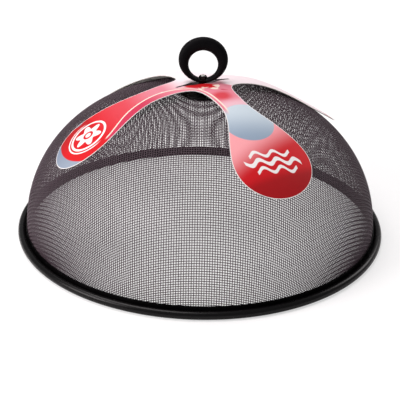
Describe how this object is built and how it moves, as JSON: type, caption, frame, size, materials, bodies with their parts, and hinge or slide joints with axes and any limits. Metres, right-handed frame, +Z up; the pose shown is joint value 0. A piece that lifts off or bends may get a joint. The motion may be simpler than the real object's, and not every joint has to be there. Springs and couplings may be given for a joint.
{
  "type": "mesh food cover",
  "caption": "Black wire-mesh dome food cover, 30 cm, with a rolled steel rim, a ring handle and a loose printed card.",
  "frame": {"origin": "centre of the plane that the rim rests on", "axes": "+Z up along the dome's axis, -Y the front that the ring handle faces, +X to the right seen from the front"},
  "size_m": [0.3, 0.3, 0.1603],
  "materials": {
    "black_paint": "gloss",
    "wire_paint": "satin",
    "black_plastic": "satin",
    "zinc_plate": "satin",
    "printed_board": "satin"
  },
  "bodies": {
    "cover": {"mesh_dome": "wire_paint", "rim_hoop": "black_paint", "inner_washer": "black_paint", "handle_screw": "zinc_plate", "top_disc": "black_paint", "handle_ring": "black_plastic", "nut_washer": "black_paint", "handle_nut": "black_paint"},
    "card": {"label_card": "printed_board"}
  },
  "joints": [
    {"name": "card_turn", "type": "hinge", "parent": "cover", "child": "card", "pos_m": [0, 0, 0.1234], "axis": [0, 0, 1], "continuous": true}
  ]
}
